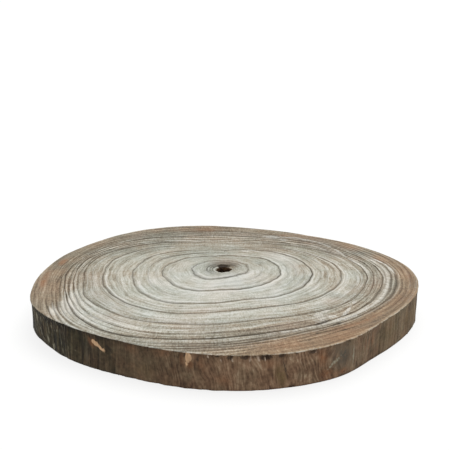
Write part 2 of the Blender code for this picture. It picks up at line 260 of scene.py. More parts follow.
# Marks on the sawn face, by what they are: direction, mm from the pith, half length along the ring and
# half breadth across it in mm, how many degrees they turn outwards, strength
faceMarks = {
    # painted shade at the far rim of the pith hole
    "holeRimShade": [
        (96, 8.6, 4.6, 2.8, 0, 1.2),
    ],
    "soil": [
        (62, 9.0, 3, 2.4, 0, 1.0), (62, 62, 13, 2, -6, 0.5), (89, 48.5, 4.5, 1.5, 0, 0.7),
        (99, 73, 5, 1.4, 0, 0.4), (101, 128, 6, 3, 20, 0.5), (110, 76, 4, 1.4, 0, 0.35),
        (133, 86, 3, 2, 0, 0.4), (248.5, 102, 5, 2.2, 0, 0.75), (250, 70, 6, 1.4, 0, 0.35),
        (252, 184, 12, 1.4, 7, 0.4), (262, 73, 4, 1.4, 0, 0.3), (283, 102, 2, 2, 0, 0.5),
        (290, 80, 5.5, 2, 0, 0.6), (292, 180, 20, 1.5, -3, 0.64), (295, 84, 3, 1.6, 0, 0.4),
        (295, 100, 2, 1.6, 0, 0.4), (298, 171, 22, 1.5, 0, 0.68), (301, 149, 3, 3.4, -30, 0.6),
        (301.5, 155, 11, 2.0, -10, 1.0), (302.5, 165, 1.0, 16, 0, 0.75), (304.5, 163.5, 6, 1.8, 0, 0.9),
        (305, 176, 24, 1.5, 0, 0.66), (311, 154, 7, 1.6, 0, 0.8), (312, 170, 20, 1.5, 2, 0.66),
        (322, 167, 22, 1.4, 2, 0.66), (325, 154.0, 26, 1.4, 0, 0.5),
    ],
    "chill": [
        (12, 38, 3, 1.8, 0, 0.4), (17, 140, 8, 20, 0, 0.65), (19, 37, 5, 2, 0, 0.7),
        (73, 94, 10, 5, 0, 0.35), (88, 14, 8, 3, 0, 0.15), (92, 101, 14, 5, 0, 0.3),
        (106, 109, 14, 6, 10, 0.45), (118, 114, 8, 6, 20, 0.3), (142, 92, 10, 6, 30, 0.4),
        (152, 104, 8, 9, 0, 0.35), (164, 135, 6, 6, 0, 0.45), (276, 67, 2.4, 2.4, 0, 0.4),
        (323, 120, 5, 6, 0, 0.5), (337, 162.5, 40, 2.6, -3, 0.25), (337, 126, 4, 4, 0, 0.4),
        (355, 156, 22, 3, -10, 0.2),
    ],
    "blush": [
        (2, 68, 9, 6, 0, 0.5), (23, 116, 8, 6, 0, 0.6), (38, 115, 22, 6, -8, 0.5),
        (44, 127, 18, 4, -10, 0.5), (50, 116, 12, 5, -10, 0.5), (80, 103, 14, 4, 0, 0.4),
        (84, 16, 11, 6, 0, 1.0), (132, 130, 8, 6, 0, 0.6), (196, 122, 20, 7, 2, 0.5),
        (212, 128, 14, 8, 0, 0.5), (226, 130, 12, 6, 0, 0.3), (232, 153, 16, 6, 0, 0.5),
        (258, 108, 16, 6, 0, 0.4), (262, 144, 18, 8, 0, 0.5), (290, 148, 18, 7, 0, 0.5),
        (318, 126, 12, 4, 0, 0.6), (335, 131, 30, 3.4, 0, 0.4), (345, 146, 24, 6, -4, 0.3),
        (350, 72, 9, 5, 0, 0.4),
    ],
    "chip": [
        (7.0, 145.5, 10, 1.0, -25, 1.0), (7.5, 150, 10, 1.3, -27, 1.1), (8.7, 126.5, 10, 1.4, -22, 1.0),
        (20, 123.2, 15, 1.4, 1, 0.98), (29, 61, 12, 4, -10, 0.75), (30, 112, 16, 1.1, -14, 0.9),
        (33, 123.0, 13, 1.5, -2, 1.0), (43, 117, 15, 1.8, -10, 0.6), (44.5, 119.5, 11, 1.7, -16, 1.1),
        (54, 104, 7, 3.0, -18, 0.85), (54, 113.5, 13, 1.8, -26, 0.95), (55, 114, 3, 2.4, 0, 0.5),
        (58, 57.5, 9, 1.7, 0, 0.9), (62.5, 106.5, 8, 4.2, -18, 1.05), (66, 53, 4, 2.6, -15, 1.0),
        (76, 104.5, 12, 1.6, 5, 0.6), (83, 107.5, 3.4, 1.6, 0, 0.6), (96, 100, 10, 1.8, 0, 0.7),
        (130.5, 80, 2.6, 2.4, 0, 0.8), (248, 178, 16, 1.5, 6, 0.5), (250, 152, 24, 10, 0, 0.44),
        (255, 181, 14, 1.6, 8, 0.5), (261, 145, 3, 3, 0, 0.5), (262, 166, 20, 2, 3, 0.4),
        (268, 163, 30, 6, 8, 0.48), (270, 185, 14, 1.8, -8, 0.4), (275, 150, 0.9, 14, 0, 0.35),
        (279, 135, 0.9, 8, 0, 0.3), (280, 112, 30, 8, 0, 0.46), (290, 158, 26, 5, 0, 0.56),
        (297, 159, 18, 2.4, 2, 0.55), (300, 116, 20, 8, 0, 0.48), (304, 147, 18, 10, 0, 0.62),
        (304.6, 140, 4.0, 2.4, 14, 1.15), (307.4, 150, 4.4, 2.6, 0, 1.15),
        (307.4, 157.5, 4.0, 2.6, 0, 1.05), (308.5, 137.5, 4.8, 2.4, 0, 1.1),
        (309.6, 159.6, 5.0, 2.2, 0, 1.1), (312.8, 160, 5.0, 2.0, 0, 1.0), (314, 150, 13, 1.5, -22, 1.1),
        (322, 142.5, 4, 1.5, -26, 1.0), (322, 158.6, 36, 2.0, 0, 0.62), (341, 155.6, 14, 2.2, -6, 0.7),
        (358, 152.5, 16, 0.9, -12, 0.9), (359, 133.2, 15, 1.4, -13, 1.0),
        (359, 157.5, 16, 1.3, -12, 1.05),
    ],
    "chalk": [
        (27, 63, 15, 7, -10, 1.3), (61, 105, 7, 4, -28, 1.0),
    ],
    "rust": [
        (9, 153.5, 8, 4, -10, 0.6), (26, 138, 10, 6, -20, 0.5), (57, 115, 6, 4, 0, 0.35),
        (98, 119, 18, 5, 6, 0.4), (112, 128, 12, 5, 16, 0.3), (174, 155.5, 7, 2.6, 3, 0.9),
        (186, 165, 6, 1.8, 6, 0.4), (193, 168.5, 14, 2.4, 9, 0.8), (197, 171.5, 4, 1.8, 8, 0.5),
        (288, 186, 20, 8, 0, 0.3), (300, 183, 30, 7, 0, 0.35), (310, 173, 24, 3, 0, 0.6),
        (352, 172, 14, 4, -6, 0.35),
    ],
    "ridge": [
        (2, 152, 26, 6, -16, 0.46), (6, 130, 26, 7, -18, 0.48), (38, 120, 26, 5, -10, 0.54),
        (206, 145, 12, 5, 24, 0.6), (213, 160, 19, 9, 33, 0.78), (216.5, 179, 15, 5.5, 24, 0.95),
        (226, 178, 12, 7, 20, 0.5),
    ],
}

# Marks on the side, by what they are: direction, share of the way down, half width and half height in
# mm, lean to the right over the half height in mm, strength
sideMarks = {
    "chip": [
        (236.4, 0.26, 3.0, 2.4, 2.6, 1.15), (238.2, 0.35, 3.2, 2.0, 3.6, 1.05),
        (261.3, 0.32, 0.9, 2.2, 0, 1.0), (261.6, 0.14, 1.4, 6.2, 0.0, 1.2),
        (262.2, 0.15, 1.2, 2.8, 0.2, 1.1),
    ],
    "rust": [
        (235.2, 0.26, 3, 2.4, 1, 0.8), (247.0, 0.14, 4, 3, 0, 0.25), (255.0, 0.12, 5, 3, 0, 0.3),
        (260.2, 0.2, 1.4, 4, 0, 0.5), (262.0, 0.33, 2.2, 2.2, 0, 0.9), (265.0, 0.32, 2, 4, 0.5, 0.35),
        (269.8, 0.7, 4, 3, 1, 0.4), (280.0, 0.26, 5, 3, 0, 0.35), (293.4, 0.32, 2.7, 4.6, 0.6, 0.85),
        (294.8, 0.78, 4, 3.4, 0, 0.75), (297.4, 0.86, 2.4, 2, 0, 0.5), (299.6, 0.84, 2.6, 1.8, 0, 0.8),
        (308.0, 0.42, 1.2, 6, 0.3, 0.5), (309.8, 0.45, 1.2, 6, 0.3, 0.6),
        (311.6, 0.4, 1.2, 5, 0.3, 0.5),
    ],
    "soil": [
        (232.0, 0.5, 1.5, 13, 0.3, 1.0), (236.8, 0.44, 5, 2.4, 5, 0.5), (240.6, 0.3, 3, 4, 4, 0.8),
        (264.0, 0.16, 1.6, 5, 0, 0.7), (268.6, 0.06, 2.6, 1.0, 0, 0.7),
        (271.4, 0.09, 2.6, 2.2, 0, 0.95), (274.8, 0.08, 3.2, 2.0, 0, 0.9),
        (279.4, 0.09, 4.6, 2.4, 0, 1.05), (283.0, 0.08, 2.6, 2.0, 0, 0.95),
        (284.1, 0.45, 1.0, 11, 3.1, 0.85), (286.6, 0.05, 2.4, 1.0, 0, 0.7),
        (290.6, 0.08, 3.4, 2.2, 0, 0.9), (295.4, 0.06, 3.0, 1.6, 0, 0.5),
        (299.9, 0.86, 1.4, 1.2, 0, 0.8), (300.6, 0.16, 5, 3, 0, 0.5),
    ],
    "moss": [
        (250.0, 0.7, 7, 5, 0, 0.3), (283.0, 0.62, 3.0, 7, 1.5, 0.9), (320, 0.5, 14, 9, 0, 0.35),
        (333, 0.5, 16, 9, 0, 0.4),
    ],
    "chill": [
        (233.3, 0.55, 1.4, 7, 0.3, 0.7), (299.4, 0.38, 9, 9, 0, 1.0),
    ],
    "frost": [
        (204.0, 0.5, 0.8, 7, 0, 0.6), (210.2, 0.55, 0.9, 3.6, 0.2, 0.7),
        (211.4, 0.28, 1.1, 3.6, 0.2, 1.0), (214.4, 0.8, 0.9, 3.0, 0.4, 0.8),
        (217.2, 0.74, 1.2, 3.2, 0.8, 1.1), (219.6, 0.88, 0.9, 2.6, 0.5, 1.0),
        (221.0, 0.42, 0.7, 5, 0.2, 0.5), (222.2, 0.9, 0.8, 2.6, 0.4, 0.8),
        (224.6, 0.6, 0.8, 7, 0.3, 0.5), (227.2, 0.6, 0.8, 8, 0.4, 0.5), (229.6, 0.62, 0.8, 7, 0.4, 0.5),
        (236.2, 0.7, 1.0, 2.2, 0.6, 0.45), (239.0, 0.74, 3.2, 1.2, -2.6, 0.4),
        (245.8, 0.88, 3.0, 1.1, -1, 0.5), (248.4, 0.4, 0.9, 1.8, 0, 0.6),
        (251.0, 0.95, 2.4, 1.2, 0, 0.6), (296.2, 0.56, 1.3, 4.6, -4.8, 1.1),
        (297.7, 0.48, 1.1, 3.2, -3.2, 1.0), (302.8, 0.52, 0.7, 8, 0, 1.0), (305.0, 0.6, 0.7, 6, 0, 0.4),
        (307.0, 0.4, 0.7, 7, 0.3, 0.5), (312.6, 0.4, 0.7, 7, 0.3, 0.4), (318.0, 0.4, 0.7, 8, 0.2, 0.4),
        (324.0, 0.5, 0.7, 8, 0.2, 0.4),
    ],
    "tuft": [
        (257.0, 0.04, 5, 1.0, 0, 0.5), (266.4, 0.08, 1.0, 1.6, 0, 0.8),
        (269.4, 0.16, 0.9, 3.0, 0.3, 0.7), (272.0, 0.15, 1.0, 3.4, 0.6, 0.7),
        (276.0, 0.13, 1.2, 3.4, -0.8, 0.85), (277.8, 0.1, 1.2, 3.2, 1.0, 0.85),
        (279.4, 0.16, 0.9, 3.2, 0.5, 0.7), (284.9, 0.14, 1.0, 4, 1.2, 0.55),
        (287.6, 0.1, 1.2, 2, 0.8, 0.5), (291.6, 0.12, 1.1, 3, 0.8, 0.5),
    ],
}

# Where the side is torn under the top edge and at the lower edge, with painted shade in the dents:
# direction, share of the way down, half width, half height and depth in mm
bites = [
    (269.0, 0.055, 3.4, 1.2, 1.3), (271.6, 0.06, 2.0, 1.5, 1.6), (274.6, 0.055, 3.8, 1.4, 1.9),
    (276.9, 0.06, 1.6, 1.4, 1.2), (279.6, 0.065, 4.8, 1.8, 2.3), (283.2, 0.05, 2.4, 1.3, 1.5),
    (286.0, 0.03, 3.0, 1.0, 1.0), (290.8, 0.04, 3.0, 1.2, 1.6), (296.0, 0.04, 3, 1.0, 1.0),
    (301.0, 0.04, 4, 1.2, 1.0), (243.5, 0.06, 3, 1.6, 1.2), (252.0, 0.04, 6, 1.2, 1.0),
    (226.0, 0.04, 6, 1.2, 1.0), (62.0, 0.08, 5, 2, 1.6), (101.0, 0.04, 5, 2.2, 2.2),
    (148.0, 0.08, 6, 2, 1.6), (17.0, 0.06, 7, 1.6, 1.4), (22.0, 0.93, 6, 1.8, 1.6),
    (119.0, 0.93, 6, 1.8, 1.6), (196.0, 0.93, 5, 1.8, 1.4), (286.0, 0.96, 4, 1.4, 1.4),
    (244.0, 0.96, 4, 1.4, 1.2), (261.0, 0.97, 5, 1.2, 1.2), (160.0, 0.95, 8, 1.6, 1.4),
    (75.0, 0.95, 7, 1.6, 1.4), (304.4, 0.02, 1.8, 1.2, 0.9), (308.6, 0.02, 2.6, 1.0, 0.8),
    (313.4, 0.02, 2.0, 1.2, 0.9), (319.0, 0.02, 3.0, 1.0, 0.8), (326.0, 0.02, 2.4, 1.0, 0.8),
]

# The side by direction: how pale and how warm it is, how strong the painted highlight along its top edge
# is, how much painted shade lies under that edge, and how strong its fibres are
sideTone = {
    0: 0.58, 20: 0.52, 60: 0.42, 100: 0.38, 140: 0.4, 180: 0.22, 200: 0.12, 215: 0.2, 232: 0.25,
    242: 0.38, 262: 0.53, 285: 0.64, 300: 0.6, 320: 0.59, 345: 0.62,
}
sideWarmth = {
    0: 0.4, 60: 0.5, 120: 0.4, 180: 0.15, 200: 0.05, 225: 0.15, 245: 0.5, 265: 0.8, 290: 0.9, 305: 0.6,
    330: 0.45,
}
edgeHighlight = {
    0: 0.3, 30: 0.25, 90: 0.3, 150: 0.2, 200: 0.3, 225: 0.3, 262: 0.6, 285: 0.75, 315: 0.75, 340: 0.5,
}
underEdgeShade = {0: 0.1, 90: 0.2, 180: 0.3, 200: 0.5, 225: 0.9, 250: 0.6, 275: 0.2, 300: 0.2, 330: 0.05}
sideGrain = {
    0: 0.32, 60: 0.5, 120: 0.5, 180: 0.55, 218: 0.6, 232: 0.36, 242: 0.26, 252: 0.26, 264: 0.32,
    290: 0.4, 305: 0.36, 325: 0.26, 345: 0.26,
}


def curveAt(curve, directions):  # smooth closed curve through {direction: value}
    if not isinstance(curve, dict):
        return np.full(len(directions), float(curve))
    places = np.array(sorted(curve), dtype=float)
    values = np.array([curve[place] for place in sorted(curve)])
    places = np.concatenate((places[-2:] - 360, places, places[:2] + 360))
    values = np.concatenate((values[-2:], values, values[:2]))
    here = np.searchsorted(places, directions, side="right") - 1
    span = places[here + 1] - places[here]
    rise = values[here + 1] - values[here]
    leave = (values[here + 1] - values[here - 1]) / (places[here + 1] - places[here - 1]) * span
    arrive = (values[here + 2] - values[here]) / (places[here + 2] - places[here]) * span
    bend = leave + arrive - 2 * rise
    t = (directions - places[here]) / span
    return values[here] + t * (leave + t * (3 * rise - 2 * leave - arrive + t * bend))


allDirections = np.arange(slab["columns"]) * 360 / slab["columns"]
ringRadii = np.array([curveAt(curve, allDirections) for curve in [slab["pithRadius"], *ringCurves]])
edgeRadii = curveAt(topEdge, allDirections)
lowerOffsets = curveAt(lowerEdgeOffset, allDirections)
lastRing = len(ringRadii) - 1
ringGaps = [*np.diff(ringRadii, axis=0).mean(axis=1), slab["rimRing"]]  # mean gap outside each ring


def radiusAt(age, columns):
    zone = min(int(age), lastRing)
    gap = slab["rimRing"] if zone == lastRing else ringRadii[zone + 1, columns] - ringRadii[zone, columns]
    turns = np.radians(allDirections[columns])
    wander = sum(share * np.sin(count * turns + drift * age) for count, drift, share in slab["ripples"])
    return ringRadii[zone, columns] + (age - zone) * gap + slab["ripple"] * wander * min(age, 1)


def ageAt(radii, columns):
    ages = []
    for radius, column in zip(radii, columns):
        rings = ringRadii[:, column]
        beyond = max(radius - rings[-1], 0) / slab["rimRing"]
        ages.append(float(np.interp(radius, rings, range(lastRing + 1))) + beyond)
    return np.array(ages)


def gapInside(age):  # mean thickness of the growth that this age lies in, or ends
    return ringGaps[min(math.ceil(age) - 1, lastRing)]


def halfWidth(age, mm):  # a ring line's half width as an age
    return mm / 1000 / gapInside(age)


def linesAt(ages, directions):  # darkness of the ring lines, and a painted highlight beside each one
    dark = np.zeros(len(ages))
    pale = np.zeros(len(ages))
    turns = np.radians(directions)
    broader = 1 + slab["broadening"] * np.abs(np.sin(turns))
    darker = 1 + slab["backDarkness"] * np.clip(np.sin(turns), 0, 1)
    for age, mm, strengths in ringLines:
        wide = halfWidth(age, mm) * broader
        strength = curveAt(strengths, directions) * darker
        off = np.abs(ages - age)
        # the painted highlight is stronger on one side of each line, set by direction
        lit = np.clip(0.6 + 0.6 * np.sign(ages - age) * np.cos(turns), 0, 1)
        dark = np.maximum(dark, np.clip(1.2 - 1.2 * off / wide, 0, 1) * strength)
        paintedHighlight = np.clip(1 - np.abs(off - 2 * wide) / (1.4 * wide), 0, 1)
        pale = np.maximum(pale, paintedHighlight * strength * lit)
    return dark, pale * (dark < 0.02)


def crestsAt(ages, directions):  # how pale the crests between the lines are
    pale = np.zeros(len(ages))
    for age, mm, strengths in paleRings:
        share = np.clip(1.25 - 0.75 * np.abs(ages - age) / halfWidth(age, mm), 0, 1)
        pale = np.maximum(pale, share * curveAt(strengths, directions))
    return pale


def bandsAt(ages, directions):  # darkness of the soft bands beside the rings
    dark = np.zeros(len(ages))
    for age, inwards, outwards, strengths in ringBands:
        offMm = (ages - age) * (gapInside(age) * 1000)
        near = np.clip(1 - np.maximum(offMm / outwards, -offMm / inwards), 0, 1)
        dark = np.maximum(dark, near * curveAt(strengths, directions))
    return dark


def levelAt(table, ages, directions):  # value between the levels of a table of curves
    levels = np.array([curveAt(curve, directions) for _, curve in table])
    steps = [age for age, _ in table]
    return np.array([np.interp(age, steps, levels[:, k]) for k, age in enumerate(ages)])


def rowAges(first, last):  # ages of the rows from one age to another, with three on each ring line
    ages = [first]
    for lines, spread in ((ringLines, 1.0), (paleRings, slab["crestSpread"])):
        for age, mm, _ in lines:
            wide = spread * halfWidth(age, mm)
            ages += [row for row in (age - wide, age, age + wide) if first < row < last]
    ages.sort()
    ages = [age for k, age in enumerate(ages) if k == 0 or age - ages[k - 1] > slab["leastRowAge"]]
    rows = []
    for low, high in zip(ages, [*ages[1:], last]):
        gapMm = (high - low) * ringGaps[min(int(low), lastRing)] * 1000
        parts = max(1, round(gapMm / slab["rowGapMm"]))
        rows += [low + (high - low) * part / parts for part in range(parts)]
    return rows


# Mesh of the slab. A ring of vertices is a dictionary of its indices, its places and its height on
# the side's strip. Charts place faces on the texture map.
charts = {
    "top": {"centre": (0.359, 0.410), "scale": 2.03},
    "under": {"centre": (0.868, 0.174), "scale": 0.74},
    "side": {"left": 0.008, "width": 0.984, "foot": (0.72, 0.86), "height": 0.13},
    "wall": {"left": 0.745, "width": 0.24, "foot": (0.33, 0.40), "height": 0.06},
}
ringSpots = []
facts = {"age": [], "face": [], "drop": []}  # face is 1 on the sawn face, -1 below and 0 on the side
faces = []
faceMaps = []


def addRing(radii, heights, columns, face, ages=None, strip=0.0):
    first = sum(len(part) for part in ringSpots)
    turns = np.radians(allDirections[columns])
    levels = np.broadcast_to(heights, radii.shape)
    spots = np.stack([radii * np.cos(turns), radii * np.sin(turns), levels], -1)
    ringSpots.append(spots)
    facts["age"].append(ageAt(radii, columns) if ages is None else np.broadcast_to(ages, radii.shape))
    facts["face"].append(np.full(len(radii), float(face)))
    facts["drop"].append(1 - spots[:, 2] / slab["thickness"])
    return {"ids": np.arange(first, first + len(radii)), "spots": spots, "strip": strip}


def mapSpot(chart, ring, step, half):
    layout = charts[chart]
    count = len(ring["ids"])
    if "centre" in layout:
        x, y = ring["spots"][step % count][:2]
        flip = 1 if chart == "top" else -1
        left, foot = layout["centre"]
        return (left + flip * x * layout["scale"], foot + y * layout["scale"])
    share = 2 * step / count - half
    return (layout["left"] + share * layout["width"], layout["foot"][half] + ring["strip"] * layout["height"])


def addFace(chart, corners):
    ring, step = corners[0]
    half = int(step >= len(ring["ids"]) // 2)
    faces.append([int(one["ids"][at % len(one["ids"])]) for one, at in corners])
    faceMaps.append([mapSpot(chart, one, at, half) for one, at in corners])


def bridge(inner, outer, chart):  # joins two rings with the same columns, or twice as many on one
    few = min(len(inner["ids"]), len(outer["ids"]))
    inStep = len(inner["ids"]) // few
    outStep = len(outer["ids"]) // few
    for k in range(few):
        up = [(outer, k * outStep + part) for part in range(outStep + 1)]
        down = [(inner, (k + 1) * inStep - part) for part in range(inStep)]
        addFace(chart, [(inner, k * inStep), *up, *down])


def everyColumn(step):
    return np.arange(0, slab["columns"], step)


def buildTop(wallTop):
    top = slab["thickness"]
    ring = wallTop
    first = slab["mouthAge"]
    *wholeZones, (step, last) = slab["rowZones"]
    for zoneStep, zoneEnd in wholeZones:
        columns = everyColumn(zoneStep)
        for age in rowAges(first, zoneEnd):
            dish = slab["dishDepth"] * max(0, 1 - (age - slab["mouthAge"]) / slab["dishAge"]) ** 2
            after = addRing(radiusAt(age, columns), top - dish, columns, 1, age)
            bridge(ring, after, "top")
            ring = after
        first = zoneEnd
    columns = everyColumn(step)  # the outer rows run out where the trunk was cut in to its edge
    limit = edgeRadii[columns] - slab["topRound"]
    ages = rowAges(first, last)
    rows = [radiusAt(age, columns) for age in ages]
    inside = limit - slab["rimGap"]
    kept = [int(np.sum([row[k] < inside[k] for row in rows])) for k in range(len(columns))]
    grid = [addRing(row, top, columns, 1, age) for row, age in zip(rows, ages)]
    rim = addRing(limit, top, columns, 1)
    bridge(ring, grid[0], "top")
    for k in range(len(columns)):
        here, there = kept[k], kept[(k + 1) % len(columns)]
        whole = min(here, there) - 1
        for row in range(whole):
            addFace("top", [(grid[row], k), (grid[row + 1], k), (grid[row + 1], k + 1), (grid[row], k + 1)])
        up = [(grid[row], k) for row in range(whole, here)]
        down = [(grid[row], k + 1) for row in range(there - 1, whole - 1, -1)]
        addFace("top", [*up, (rim, k), (rim, k + 1), *down])
    return rim


def sideRadii(drop):
    turns = np.radians(allDirections)
    drift = slab["fluteDrift"] * np.sin(slab["driftCount"] * turns)
    flute = np.sin(slab["fluteCount"] * turns + drift)
    return edgeRadii + drop * lowerOffsets + slab["fluteDepth"] * flute * math.sin(math.pi * drop)


def buildSide(rim):
    top = slab["thickness"]
    columns = everyColumn(1)
    soft = slab["topRound"] * (1 - math.sqrt(0.5))
    ring = addRing(edgeRadii - soft, top - soft, columns, 1, strip=1.0)
    bridge(rim, ring, "top")
    high = top - slab["topRound"]
    for row in range(slab["sideRows"] + 1):
        share = row / slab["sideRows"]
        share = 0.5 * share + 0.25 - 0.25 * math.cos(math.pi * share)  # closer together near the edges
        height = high + (slab["lowerRound"] - high) * share
        after = addRing(sideRadii(1 - height / top), height, columns, 0, strip=height / top)
        bridge(ring, after, "side")
        ring = after
    return ring


def buildUnderside(ring):
    columns = everyColumn(slab["underStep"])
    outer = sideRadii(1.0)[columns] - slab["lowerRound"]
    after = addRing(outer, 0.0, columns, -1)
    bridge(ring, after, "under")
    ring = after
    for main in range(lastRing - 1, 0, -1):
        wide = halfWidth(main, slab["underLineMm"])
        for age in (main + 0.5, main + wide, main, main - wide):
            radii = radiusAt(age, columns)
            if np.all(radii < outer - slab["underGap"]):
                after = addRing(radii, 0.0, columns, -1, age)
                bridge(ring, after, "under")
                ring = after
    return ring


def buildWall():
    columns = everyColumn(slab["rowZones"][0][0])
    rings = []
    mouth = slab["thickness"] - slab["dishDepth"] - slab["mouthRound"]
    turns = np.radians(allDirections[columns])
    for row in range(slab["wallRows"] + 1):
        share = row / slab["wallRows"]
        narrow = slab["pithRadius"] - (slab["pithRadius"] - slab["throatRadius"]) * math.sin(math.pi * share)
        uneven = np.sin(3 * turns + 1) + 0.7 * np.sin(9 * turns + 2 * share) + 0.5 * np.sin(23 * turns)
        radii = narrow + slab["wallRoughness"] * uneven
        rings.append(addRing(radii, mouth * share, columns, 0, 0.0, share))
    for low, high in zip(rings, rings[1:]):
        bridge(low, high, "wall")
    return rings[0], rings[-1]


wallFoot, wallTop = buildWall()
rim = buildTop(wallTop)
lowerRing = buildSide(rim)
underRing = buildUnderside(lowerRing)
bridge(underRing, wallFoot, "under")
print("slab rows built,", len(faces), "faces")


def patch(across, along, wide, tall, lean=0):  # 1 in the middle of a mark, half that at its edge
    sideways = (across - lean * along / tall) / wide
    return np.clip(1 - 0.5 * np.sqrt(sideways ** 2 + (along / tall) ** 2), 0, 1)


edgeWearShadeAndHighlight = {
    "shade": 0.3,  # painted shade: how much darker the side is under its top edge and at its foot
    "shadeReach": 0.22,  # how far down that goes, as a share of the height
    "footShade": 0.7,
    "footReach": 1 / 12,
    # painted highlight along the top edge of the sawn face
    "highlightStrength": 1.6,
    "highlightBreadthMm": 2.4,
    "biteReachMm": 0.8,  # how far in from the edge bites and ribs reach on the sawn face
    "ribReachMm": 1.2,
    "ribStart": 0.12,  # share of their depth that ribs have at the top edge
    "ribReach": 0.16,  # how far down they grow to their full depth
    "smoothMm": 30,  # no ribs within this radius, in the hole
}


def paintSlab(spots, facts):  # what the relief and the finishes read at each point of the slab
    x, y = (spots[:, :2] * 1000).T
    radius = np.hypot(x, y)
    directions = np.degrees(np.arctan2(y, x)) % 360
    onFace = facts["face"] > 0.5
    side = facts["face"] == 0
    drop = facts["drop"]
    paint = {name: np.zeros(len(spots)) for name in (*faceMarks, *sideMarks, "biteAndShade")}
    paint["line"], paint["paintedHighlight"] = linesAt(facts["age"], directions)
    paint["band"] = bandsAt(facts["age"], directions)
    paint["crest"] = crestsAt(facts["age"], directions) * (1 - paint["line"])
    wash = levelAt(washLevels, facts["age"], directions) + np.interp(facts["age"], *zip(*washSteps))
    # painted shade on the side, under its top edge and at its foot
    shade = curveAt(underEdgeShade, directions) * np.clip(1 - drop / edgeWearShadeAndHighlight["shadeReach"], 0, 1)
    shade = shade + edgeWearShadeAndHighlight["footShade"] * np.clip(1 - (1 - drop) / edgeWearShadeAndHighlight["footReach"], 0, 1)
    paint["wash"] = np.where(side, curveAt(sideTone, directions) - edgeWearShadeAndHighlight["shade"] * shade, wash)
    tan = levelAt(tanLevels, facts["age"], directions)
    paint["tan"] = np.where(side, curveAt(sideWarmth, directions), tan)
    fromEdge = curveAt(topEdge, directions) * 1000 - radius
    # painted highlight along the top edge of the sawn face
    onEdge = np.clip(1.2 - fromEdge / edgeWearShadeAndHighlight["highlightBreadthMm"], 0, 1) * onFace * curveAt(edgeHighlight, directions)
    paint["paintedHighlight"] = np.maximum(paint["paintedHighlight"], edgeWearShadeAndHighlight["highlightStrength"] * onEdge)
    tallMm = slab["thickness"] * 1000

    def fromMark(direction, out):
        return np.radians((directions - direction + 180) % 360 - 180) * out

    def sidePatch(direction, share, wide, tall, lean=0):
        return patch(fromMark(direction, radius), (drop - share) * tallMm, wide, tall, lean)

    for name, marks in faceMarks.items():
        for direction, out, long, wide, turn, strength in marks:
            cosine, sine = math.cos(math.radians(turn)), math.sin(math.radians(turn))
            onRing = fromMark(direction, out)
            along = onRing * cosine + (radius - out) * sine
            across = (radius - out) * cosine - onRing * sine
            mark = strength * patch(across, along, wide, long) * (onFace | (radius < slab["holeMm"]))
            paint[name] = np.maximum(paint[name], mark)
    for name, marks in sideMarks.items():
        for direction, share, wide, tall, lean, strength in marks:
            mark = strength * sidePatch(direction, share, wide, tall, lean) * side
            paint[name] = np.maximum(paint[name], mark)
    for direction, share, wide, tall, deep in bites:
        mark = deep * sidePatch(direction, share, wide, tall) * (side | (fromEdge < edgeWearShadeAndHighlight["biteReachMm"]))
        paint["biteAndShade"] = np.maximum(paint["biteAndShade"], mark)
    paint["grain"] = curveAt(sideGrain, directions)
    ribbed = (side | (fromEdge < edgeWearShadeAndHighlight["ribReachMm"])) & (radius > edgeWearShadeAndHighlight["smoothMm"])
    paint["edge"] = np.clip(edgeWearShadeAndHighlight["ribStart"] + drop / edgeWearShadeAndHighlight["ribReach"], 0, 1) * ribbed
    return paint


def newObject(name, data):
    thing = bpy.data.objects.new(name, data)
    bpy.context.scene.collection.objects.link(thing)
    return thing


def slabMesh():
    spots = np.concatenate(ringSpots)
    used = np.zeros(len(spots), dtype=bool)
    used[[corner for face in faces for corner in face]] = True
    order = np.cumsum(used) - 1
    spots = spots[used]
    kept = {name: np.concatenate(parts)[used] for name, parts in facts.items()}
    low, high = spots.min(axis=0), spots.max(axis=0)
    shift = np.array([(cadBox[0][k] + cadBox[1][k] - low[k] - high[k]) / 2 for k in range(2)] + [0.0])
    mesh = bpy.data.meshes.new("woodSlice")
    mesh.from_pydata((spots + shift).tolist(), [], [[int(order[c]) for c in face] for face in faces])
    for name, values in {**kept, **paintSlab(spots, kept)}.items():
        layer = mesh.attributes.new(name, "FLOAT", "POINT")
        layer.data.foreach_set("value", values.astype(np.float32))
    layer = mesh.uv_layers.new(name="OFBake")
    mapSpots = [spot for corners in faceMaps for spot in corners]
    layer.data.foreach_set("uv", np.array(mapSpots, dtype=np.float32).ravel())
    return mesh, shift


mesh, pithPlace = slabMesh()
woodSlice = newObject("woodSlice", mesh)
print("slab mesh made, pith at", pithPlace.round(5))


# Node helpers, for the relief and for the finishes
def put(tree, kind, **settings):
    node = tree.nodes.new(kind)
    for name, value in settings.items():
        setattr(node, name, value)
    return node


def feed(tree, socket, value):  # links a socket, or sets its own value
    if isinstance(value, bpy.types.NodeSocket):
        tree.links.new(value, socket)
    else:
        socket.default_value = value


def calc(tree, operation, *values, clamp=False):
    node = put(tree, "ShaderNodeMath", operation=operation, use_clamp=clamp)
    for socket, value in zip(node.inputs, values):
        feed(tree, socket, value)
    return node.outputs[0]


def times(tree, first, second, clamp=False):
    return calc(tree, "MULTIPLY", first, second, clamp=clamp)


def vectorCalc(tree, operation, *values):
    node = put(tree, "ShaderNodeVectorMath", operation=operation)
    for socket, value in zip(node.inputs, values):
        feed(tree, socket, value)
    return node.outputs["Value" if operation in ("LENGTH", "DOT_PRODUCT") else "Vector"]


def scaled(tree, vector, x, y, z):
    return vectorCalc(tree, "MULTIPLY", vector, (x, y, z))


def join(tree, x, y, z):
    node = put(tree, "ShaderNodeCombineXYZ")
    for socket, value in zip(node.inputs, (x, y, z)):
        feed(tree, socket, value)
    return node.outputs[0]


def split(tree, vector):
    node = put(tree, "ShaderNodeSeparateXYZ")
    feed(tree, node.inputs[0], vector)
    return node.outputs


